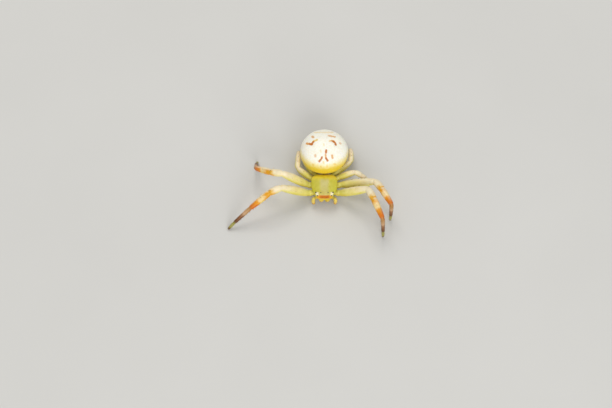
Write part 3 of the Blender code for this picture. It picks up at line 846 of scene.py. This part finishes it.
leg_coat = Coat(("limb_place", "limb_back", "banding"))
for number, (name, limb) in enumerate(legs.items()):
    banding = FULL_BANDING if is_front(name) else HIND_BANDING
    spots = sorted(
        (random.uniform(1.05, 5.96) if random.random() < 0.72 else random.uniform(3.6, 5.96))
        for _ in range(FRONT_LEG_HAIRS if is_front(name) else HIND_LEG_HAIRS))
    for at, here in zip(spots, limb.frames(spots)):
        root, ahead, bend, length, angle = limb_hair(limb, at, here, LEG_HAIR_LEAN, LEG_HAIR_LENGTH, 0.985)
        leg_coat.add(
            root, ahead, bend, length * (1.15 if at < 4.0 else 0.85), (at, math.sin(angle), banding),
            (at / 6.0, (number + 0.1 + 0.8 * angle / math.tau) / 8.0))
    toe = limb.frames([5.2, BRUSH_PLACE])[1]
    for _ in range(BRUSH_HAIRS):
        angle = random.uniform(0.0, math.tau)
        root = toe @ (spoke(angle) * BRUSH_RADIUS)
        ahead = toe.to_3x3() @ (spoke(angle) * random.uniform(0.2, 0.9) + UP)
        reach = min(0.17, max(0.05, (root.z - 0.006) / max(0.15, -ahead.normalized().z)))
        leg_coat.add(root, ahead, -UP, reach, (5.25, 1.0, banding),
                     (0.985, (number + 0.1 + 0.8 * angle / math.tau) / 8.0))
lift_to_floor(leg_coat.bm)
hairs = make_piece("leg_hairs", leg_coat.bm, hair_cuticle("leg hair", paint_hair))


# Leg spines and claws: stout brown spines in two rows under each front shin and foot, which hold
# prey like a basket, a few longer ones on top, and two curved claws at each toe. All are solid
# horn. Each spine has a place along the leg, an angle round it in degrees and a length.
FRONT_SPINES = sorted(
    [(at, angle, 0.34) for at in (3.30, 3.46, 3.62, 3.78, 3.92) for angle in (-62.0, -118.0)]
    + [(at, angle, 0.30) for at in (4.12, 4.30, 4.48, 4.66, 4.84) for angle in (-58.0, -122.0)]
    + [(1.34, 128.0, 0.26), (1.52, 132.0, 0.28), (1.70, 136.0, 0.26)]
    + [(2.85, 90.0, 0.22), (3.35, 90.0, 0.24)])
HIND_SPINES = (
    (1.5, 90.0, 0.18), (2.8, 90.0, 0.18), (3.3, 90.0, 0.22), (3.6, -60.0, 0.18), (3.9, -120.0, 0.18),
    (4.5, -60.0, 0.16), (4.8, -120.0, 0.16),
)
SPINE_RADIUS, SPINE_BEND = 0.019, 18.0
CLAW_LENGTH, CLAW_RADIUS, CLAW_BEND = 0.17, 0.024, 100.0

bm = mesh_with_tips()
for name, limb in legs.items():
    rows = FRONT_SPINES if is_front(name) else HIND_SPINES
    for (at, angle, length), here in zip(rows, limb.frames([row[0] for row in rows])):
        around, turn = spoke(math.radians(angle)), here.to_3x3()
        root = here @ (around * limb.thickness(at) * 0.96)
        add_spike(bm, root, turn @ (around * 0.85 + UP), turn @ UP, length, SPINE_RADIUS, SPINE_BEND, 6, 4)
lift_to_floor(bm)
spines = make_piece("leg_spines", bm, horn_material)

bm = mesh_with_tips()
for limb in legs.values():
    toe = limb.frames([5.2, 5.97])[1]
    for _, sign in SIDES:
        root = toe @ Vector((sign * 0.045, 0.02, 0.0))
        ahead = toe.to_3x3() @ Vector((sign * 0.35, 0.55, 0.8))
        add_spike(bm, root, ahead, -UP, CLAW_LENGTH, CLAW_RADIUS, CLAW_BEND, 8, 7)
lift_to_floor(bm)
claws = make_piece("claws", bm, horn_material)


# Feelers: the two short palps beside the jaws, built like small legs, yellow with brownish ends
# and covered with short bristles. They hang with their tips in front of the fangs.
PALP_JOINTS = (
    (0.76, -1.33, 0.92), (1.10, -1.56, 1.08), (1.25, -1.81, 1.08), (1.22, -1.92, 0.76),
    (1.15, -1.98, 0.44),
)
PALP_CORNER = 0.22
PALP_THICKNESS = (
    (0.0, 0.14), (0.2, 0.165), (0.8, 0.175), (0.97, 0.165), (1.0, 0.150), (1.05, 0.172), (1.5, 0.200),
    (1.92, 0.190), (2.0, 0.172), (2.1, 0.188), (2.5, 0.200), (2.92, 0.190), (3.0, 0.165),
    (3.1, 0.182), (3.4, 0.180), (3.75, 0.145), (3.93, 0.085), (4.0, 0.040),
)


def paint_palp(tree):
    along = attribute(tree, "limb_place")
    shade = colour_ramp(tree, along, (
        (0.0, STRAW_LOW), (1.4, (226, 200, 70)), (2.4, (228, 196, 66)), (3.12, (210, 164, 60)),
        (3.68, (176, 120, 56)), (4.0, UMBER)))
    pale = times(tree, rise(tree, attribute(tree, "limb_back"), 0.1, 0.9), rise(tree, along, 3.4, 2.6), 0.30)
    return lay_over(tree, shade, (pale, BONE))


palp_material = cuticle_material("palp cuticle", paint_palp, 0.028, 0.09, 0.40, 0.008, LEG_FINISH)
palps = []
for side_name, sign in SIDES:
    joints = [Vector((sign * x, y, z)) for x, y, z in PALP_JOINTS]
    limb = Limb(joints, PALP_CORNER, lambda at: smooth_row(PALP_THICKNESS, at)[0])
    bm = bmesh.new()
    limb.add_skin(bm, limb_places(4), 20)
    palp = make_piece(f"palp_{side_name}", bm, palp_material)
    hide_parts(f"pedipalp_{side_name}")
    palps.append(limb)


# Stalk: the narrow waist between the carapace and the abdomen, hidden by both. It is a short tube
# of soft cuticle with shallow rings round it, grown in one with the skin at either end.
STALK_SHAPE = (  # y, radius, height
    (1.10, 0.20, 1.16), (1.24, 0.165, 1.14), (1.36, 0.145, 1.15), (1.50, 0.165, 1.18), (1.66, 0.22, 1.24),
)


def stalk_ring(share):
    front, rear = STALK_SHAPE[0][0], STALK_SHAPE[-1][0]
    y = front + (rear - front) * share
    radius, height = smooth_row(STALK_SHAPE, y)
    radius *= 1.0 + 0.05 * math.cos(14 * math.pi * share)
    return oval_ring(bm, (0.0, y, height), radius, radius, 20)


bm = bmesh.new()
draw_through(bm, 14, stalk_ring)
stalk = make_piece("stalk", bm, cuticle_material(
    "stalk cuticle", painted_across("Y", 1.2, 1.6, (200, 184, 84), (214, 196, 110)),
    0.03, 0.08, 0.5, 0.008))
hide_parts("pedicel")


# Abdomen: a soft round bag of thin skin over white flesh, gold along its front and lower edge, partly its
# own colour and partly painted shade on the faces that turn down and ahead. Rust marks lie in shallow pits
# on top, where muscles pull the skin in, and it wrinkles at the sides.
ABDOMEN_CENTRE = Vector((0.0, 3.54, 2.32))
ABDOMEN_HALF = (2.695, 2.635, 2.06, 1.54)  # half width, half length, rise and depth
ABDOMEN_FULLNESS = 2.25
# The marks are laid out on a plane that faces up and ahead
PLANE_UP, PLANE_FACING = Vector((0.0, 0.883, 0.4695)), Vector((0.0, -0.4695, 0.883))
MARK_EDGE = 0.055
ABDOMEN_INSET = 0.012
# Each mark: start and end on that plane, half width, and strength
DARK_MARKS = (
    ((-1.60, 5.10), (-1.40, 5.06), 0.130, 1.0), ((-1.42, 5.08), (-1.22, 5.34), 0.110, 1.0),
    ((0.98, 5.40), (1.18, 5.22), 0.100, 1.0), ((1.18, 5.24), (1.26, 5.02), 0.115, 1.0),
    ((0.20, 4.38), (0.16, 4.14), 0.125, 0.95), ((0.17, 3.50), (0.34, 3.26), 0.120, 0.95),
    ((-0.28, 3.62), (-0.38, 3.41), 0.110, 0.95), ((-0.38, 3.42), (-0.58, 3.16), 0.110, 0.9),
)
ORANGE_MARKS = (
    ((-1.94, 5.16), (-1.56, 5.10), 0.115, 0.9), ((-1.31, 5.91), (-1.23, 5.87), 0.130, 0.75),
    ((0.48, 6.04), (1.20, 5.91), 0.090, 0.75), ((0.80, 5.47), (1.06, 5.36), 0.100, 0.85),
    ((0.12, 3.92), (0.16, 3.50), 0.090, 0.75), ((-1.01, 3.86), (-1.01, 3.70), 0.120, 0.55),
    ((0.85, 3.80), (0.89, 3.54), 0.120, 0.75), ((1.72, 5.21), (1.80, 5.15), 0.110, 0.50),
)
FAINT_MARKS = (
    ((-1.24, 5.36), (-0.80, 5.56), 0.100, 0.85), ((0.56, 5.42), (0.86, 5.46), 0.100, 0.60),
    ((-1.10, 6.40), (0.96, 6.43), 0.070, 0.45), ((-0.11, 3.12), (-0.11, 2.98), 0.110, 0.55),
    ((-1.30, 2.82), (-1.22, 2.77), 0.110, 0.50), ((1.13, 2.90), (1.21, 2.83), 0.110, 0.50),
    ((0.26, 2.68), (0.30, 2.58), 0.100, 0.50), ((-0.41, 2.60), (-0.36, 2.50), 0.100, 0.50),
    ((-0.07, 5.08), (-0.06, 4.90), 0.100, 0.35), ((-0.44, 4.36), (-0.40, 4.22), 0.100, 0.35),
)


def on_abdomen(direction):
    """The point of the abdomen's plain bag in this direction from its centre."""
    level = max(-1.0, min(1.0, direction.z))
    reach = math.sqrt(max(0.0, 1.0 - level * level))
    height = full(level, ABDOMEN_FULLNESS)
    wide = (reach ** (2.0 / ABDOMEN_FULLNESS) / reach if reach > 1e-6 else 0.0)
    wide *= 1.0 - 0.10 * max(0.0, -height)
    half_width, half_length, above, below = ABDOMEN_HALF
    return ABDOMEN_CENTRE + Vector((
        direction.x * wide * half_width, direction.y * wide * half_length,
        height * (above if height > 0.0 else below)))


def clamped(value):
    return max(0.0, min(1.0, value))


def distance_to_mark(spot, start, end):
    """How far a spot of the plane is from the line between two of its points."""
    start, end = Vector(start), Vector(end)
    along = end - start
    share = clamped((spot - start).dot(along) / along.length_squared)
    return (spot - start - along * share).length


def abdomen_relief(co, direction):
    """How far the skin stands out: pits at the marks, wrinkles at the sides, plates below."""
    relief = 0.020 * noise.noise(co * 0.9)
    spot = Vector((co.x, co.dot(PLANE_UP)))
    if direction.z > 0.0 or direction.y < 0.0:
        for start, end, width, strength in DARK_MARKS + ORANGE_MARKS[:4]:
            relief -= 0.030 * strength * hump(distance_to_mark(spot, start, end), 0.0, width * 1.7)
    angle = math.atan2(direction.x, direction.y)
    flank = clamped((0.35 - direction.z) / 0.5) * clamped((direction.z + 0.95) / 0.4)
    folds = noise.noise(Vector((math.cos(angle) * 2.2, math.sin(angle) * 2.2, direction.z * 13.0)))
    relief += 0.034 * flank * folds
    if direction.z < -0.4:
        furrow = co.y - 2.62 - 0.10 * co.x * co.x
        relief -= 0.050 * hump(furrow, 0.0, 0.06) * hump(co.x, 0.0, 1.1)
        relief += 0.030 * hump(abs(co.x), 0.72, 0.30) * hump(co.y, 2.22, 0.26)
        relief += 0.035 * hump(co.x, 0.0, 0.16) * hump(co.y, 2.40, 0.11)
        relief -= 0.018 * hump(abs(co.x) - 0.28 - 0.10 * (co.y - 2.7), 0.0, 0.05) * hump(co.y, 3.8, 0.9)
    keel = hump(abs(direction.x), 0.0, 0.03) * hump(direction.z, 0.2, 0.5)
    relief += 0.010 * keel * max(0.0, -direction.y)
    return relief


# One mark: the distance to a line between two points of the plane, as a soft-edged mask
stroke, given, closing = open_group(
    "skin_mark",
    {"Place": "Vector", "Start": "Vector", "End": "Vector", "Half Width": "Float"}, {"Mask": "Float"})
reached = vector_calc(stroke, "SUBTRACT", given["Place"], given["Start"])
whole = vector_calc(stroke, "SUBTRACT", given["End"], given["Start"])
share = add_node(stroke, "Clamp", {"Value": calc(
    stroke, "DIVIDE", vector_calc(stroke, "DOT_PRODUCT", reached, whole),
    vector_calc(stroke, "DOT_PRODUCT", whole, whole))})[0]
away = vector_calc(stroke, "DISTANCE", reached, vector_calc(stroke, "MULTIPLY", whole, share))
past = calc(stroke, "SUBTRACT", away, given["Half Width"])
set_inputs(stroke, closing, {"Mask": rise(stroke, past, MARK_EDGE, -MARK_EDGE)})


def paint_abdomen(tree):
    place, normal = body_place(tree), surface_normal(tree)
    clouds = add_node(tree, "TexNoise", {"Vector": place, "Scale": 6.0, "Detail": 4.0})
    waver = times(tree, calc(tree, "SUBTRACT", clouds["Fac"], 0.5), 0.3)
    shift = vector_calc(tree, "SUBTRACT", clouds["Color"], (0.5, 0.5, 0.5))
    spot = vector_calc(
        tree, "ADD", vector_calc(tree, "MULTIPLY", shift, (0.16, 0.16, 0.0)),
        add_node(tree, "CombineXYZ", {
            "X": axes(tree, place)["X"],
            "Y": vector_calc(tree, "DOT_PRODUCT", place, tuple(PLANE_UP))})[0])
    on_top = rise(tree, vector_calc(tree, "DOT_PRODUCT", normal, tuple(PLANE_FACING)), 0.12, 0.30)
    low = calc(tree, "ADD", vector_calc(tree, "DOT_PRODUCT", normal, (0.0, -0.5, -1.0)), waver)

    def marked(marks):
        total = 0.0
        for start, end, width, strength in marks:
            mask = add_node(tree, "Group", {
                "Place": spot, "Start": (*start, 0.0), "End": (*end, 0.0), "Half Width": width},
                node_tree=stroke)["Mask"]
            total = calc(tree, "MAXIMUM", times(tree, mask, strength), total)
        return times(tree, total, on_top)

    return lay_over(
        tree, (250, 248, 236), (rise(tree, clouds["Fac"], 0.40, 0.65), (246, 241, 220)),
        # Gold on the faces that turn down and ahead: partly the skin's own gold, partly painted shade.
        (rise(tree, low, -0.45, -0.02), (244, 226, 150)), (rise(tree, low, -0.10, 0.26), (232, 202, 56)),
        (rise(tree, axes(tree, normal)["Z"], -0.55, -0.90), (232, 214, 140)),
        (marked(FAINT_MARKS), (232, 192, 80)), (marked(ORANGE_MARKS), (218, 144, 10)),
        (marked(DARK_MARKS), (196, 112, 8)))


bm = bmesh.new()
bmesh.ops.create_uvsphere(bm, u_segments=160, v_segments=110, radius=1.0)
for vert in bm.verts:
    direction = vert.co.copy()
    base = on_abdomen(direction)
    out = (base - ABDOMEN_CENTRE).normalized()
    vert.co = base + out * (abdomen_relief(base, direction) - ABDOMEN_INSET)
abdomen_tree = BVHTree.FromBMesh(bm)
abdomen = make_piece("abdomen_skin", bm, cuticle_material(
    "abdomen skin", paint_abdomen, 0.05, 0.16, 0.16, 0.010, {
        "Roughness": 0.46, "IOR": 1.45, "Subsurface Weight": 0.16, "Subsurface Scale": 0.35 * MM,
        "Subsurface Radius": (1.0, 0.80, 0.45), "Coat Weight": 0.06, "Coat Roughness": 0.35}))
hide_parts("abdomen")


# Spinnerets: the cluster of short silk-spinning cones with a small knob above them, under the
# rear of the abdomen, each a ringed tube of yellow cuticle with a brown tip.
SPINNERET_TOP, SPINNERET_TIP = Vector((0.0, 5.33, 1.14)), Vector((0.0, 5.69, 0.62))
CONES = (  # across, up, length and radius of each cone
    (0.150, 0.10, 0.56, 0.115), (0.165, -0.10, 0.62, 0.120), (0.060, -0.02, 0.48, 0.075),
    (0.0, 0.17, 0.36, 0.095),
)


def cone_ring(root, turn, across, length, radius, share):
    size = radius * (1.0 - 0.42 * share ** 2) * (1.0 - 0.10 * hump(share, 0.62, 0.05))
    size *= 1.0 if share < 0.95 else 0.72
    spread = Vector((across * 0.12 * share, 0.0, 0.0))
    centre = root + turn @ UP * length * share + spread
    ring = add_ring(
        bm, Matrix.Translation(centre) @ turn.to_4x4() @ Matrix.Diagonal((size, size, 1.0, 1.0)), 16)
    for vert in ring:
        vert[tip] = share
    return ring


bm = mesh_with_tips()
tip = bm.verts.layers.float.get("tip")
ahead = (SPINNERET_TIP - SPINNERET_TOP).normalized()
up = Vector((1.0, 0.0, 0.0)).cross(ahead)
turn = Matrix((Vector((1.0, 0.0, 0.0)), up, ahead)).transposed()
for across, height, length, radius in CONES:
    for sign in ((1.0, -1.0) if across else (1.0,)):
        root = SPINNERET_TOP + Vector((sign * across, 0.0, 0.0)) - up * height - ahead * 0.06
        draw_through(bm, 16, lambda share: cone_ring(root, turn, sign * across, length, radius, share))
spinnerets = make_piece("spinneret_cones", bm, cuticle_material(
    "spinneret cuticle", painted_along("tip", (
        (0.0, (222, 200, 110)), (0.6, (206, 166, 76)), (1.0, (140, 92, 46)))),
    0.02, 0.05, 0.4, 0.006))
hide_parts("spinnerets")


# Body bristles: sparse short hairs that point back on the abdomen, a few stiff upright ones on
# the carapace, and longer ones that point forward on the face and stand out on the palps. Each is
# a solid hair of cuticle.
ABDOMEN_HAIRS, CARAPACE_HAIRS, FACE_HAIRS, PALP_HAIRS = 620, 90, 13, 110
PALP_HAIR_LEAN, PALP_HAIR_LENGTH = (25.0, 50.0), (0.08, 0.17)
SUNK = 0.006
BACKWARD = Vector((0.0, 1.0, -0.35))
body_coat = Coat(("shade",))
for _ in range(ABDOMEN_HAIRS):
    direction = Vector((random.gauss(0, 1), random.gauss(0, 1), random.gauss(0, 1))).normalized()
    hit, normal, _, _ = abdomen_tree.ray_cast(ABDOMEN_CENTRE, direction)
    back = (BACKWARD - normal * normal.dot(BACKWARD)).normalized()
    across = math.atan2(direction.x, direction.y) / math.tau + 0.5
    body_coat.add(hit - normal * SUNK, normal * 0.75 + back, back, random.uniform(0.07, 0.13),
                  (0.15,), (0.5 * across, 0.5 + 0.5 * math.asin(direction.z) / math.pi))
placed = 0
while placed < CARAPACE_HAIRS:
    x, y = random.uniform(-1.35, 1.35), random.uniform(-1.6, 0.8)
    hit, normal, _, _ = carapace_tree.ray_cast(Vector((x, y, 4.0)), -UP)
    if hit is None or normal.z < 0.3:
        continue
    placed += 1
    body_coat.add(hit - normal * SUNK, normal + Vector((0.0, -0.35, 0.0)), Vector((0.0, -1.0, 0.0)),
                  random.uniform(0.10, 0.20), (0.45,), (0.55 + 0.13 * (x + 1.4), 0.1 + 0.3 * (y + 1.7)))
for step in range(FACE_HAIRS):
    x = -0.72 + 1.44 * step / (FACE_HAIRS - 1)
    hit, normal, _, _ = carapace_tree.ray_cast(Vector((x, -4.0, 1.30)), Vector((0.0, 1.0, 0.0)))
    if hit:
        body_coat.add(hit - normal * SUNK, normal - UP * 0.35, -UP, 0.22 if step % 2 else 0.30,
                      (0.55,), (0.55 + 0.13 * (x + 1.4), 0.55))
for number, limb in enumerate(palps):
    spots = sorted(random.uniform(1.1, 3.95) for _ in range(PALP_HAIRS))
    for at, here in zip(spots, limb.frames(spots)):
        root, ahead, bend, length, angle = limb_hair(limb, at, here, PALP_HAIR_LEAN, PALP_HAIR_LENGTH, 0.98)
        body_coat.add(root, ahead, bend, length, (0.35,),
                      (0.6 + 0.08 * at, 0.7 + 0.12 * number + 0.1 * angle / 6.3))
body_hairs = make_piece("body_bristles", body_coat.bm, hair_cuticle(
    "body bristle", painted_along("shade", ((0.0, (240, 230, 196)), (1.0, (150, 104, 54))))))


# Floor and light: a plain pale floor, a broad soft lamp above and behind the spider, a weaker one
# in front, and a pale surround. The camera looks down over the spider's head.
FLOOR_HALF_WIDTH = 1.5
LAMPS = (  # name, place in metres, width, power and colour
    ("key lamp", (-0.03, 0.12, 0.22), 0.12, 0.20, (1.0, 0.98, 0.95)),
    ("front lamp", (0.05, -0.24, 0.12), 0.16, 0.40, (0.98, 0.99, 1.0)),
)
LAMP_TARGET = Vector((0.0, 0.0, 0.001))
CAMERA_TARGET = Vector((-0.305, -2.927, 2.0)) * MM
CAMERA_DISTANCE = 187.0 * MM
CAMERA_ELEVATION = math.radians(62.0)


def stand_in_scene(name, data, place, target):
    """A lamp or a camera at this place, turned towards its target."""
    item = bpy.data.objects.new(name, data)
    item.location = place
    item.rotation_euler = (target - Vector(place)).to_track_quat("-Z", "Y").to_euler()
    bpy.context.scene.collection.objects.link(item)
    return item


bm = bmesh.new()
bmesh.ops.create_grid(bm, x_segments=1, y_segments=1, size=FLOOR_HALF_WIDTH)
floor_mesh = bpy.data.meshes.new("floor")
bm.to_mesh(floor_mesh)
bm.free()
floor_material = bpy.data.materials.new("pale floor")
floor_material.use_nodes = True
tree = floor_material.node_tree
speckle = add_node(tree, "TexNoise", {
    "Vector": add_node(tree, "TexCoord")["Object"], "Scale": 60.0, "Detail": 3.0})["Fac"]
set_inputs(tree, tree.nodes["Principled BSDF"], {
    "Base Color": lay_over(tree, (203.4, 201.9, 197.3), (speckle, (209.4, 207.9, 203.4))),
    "Roughness": 0.85})
floor_mesh.materials.append(floor_material)
floor = bpy.data.objects.new("floor", floor_mesh)
bpy.context.scene.collection.objects.link(floor)

for name, place, width, power, colour in LAMPS:
    lamp = bpy.data.lights.new(name, "AREA")
    lamp.size, lamp.energy, lamp.color = width, power, colour
    stand_in_scene(name, lamp, place, LAMP_TARGET)

world = bpy.data.worlds.new("pale surround")
world.use_nodes = True
set_inputs(world.node_tree, world.node_tree.nodes["Background"], {
    "Color": (0.98, 0.99, 1.0, 1.0), "Strength": 0.60})
bpy.context.scene.world = world
bpy.context.scene.view_settings.view_transform = "Standard"

lens = bpy.data.cameras.new("camera")
lens.lens, lens.sensor_width, lens.clip_start = 100.0, 36.0, 0.005
away = Vector((0.0, -math.cos(CAMERA_ELEVATION), math.sin(CAMERA_ELEVATION)))
bpy.context.scene.camera = stand_in_scene(
    "camera", lens, CAMERA_TARGET + away * CAMERA_DISTANCE, CAMERA_TARGET)

bpy.context.view_layer.update()
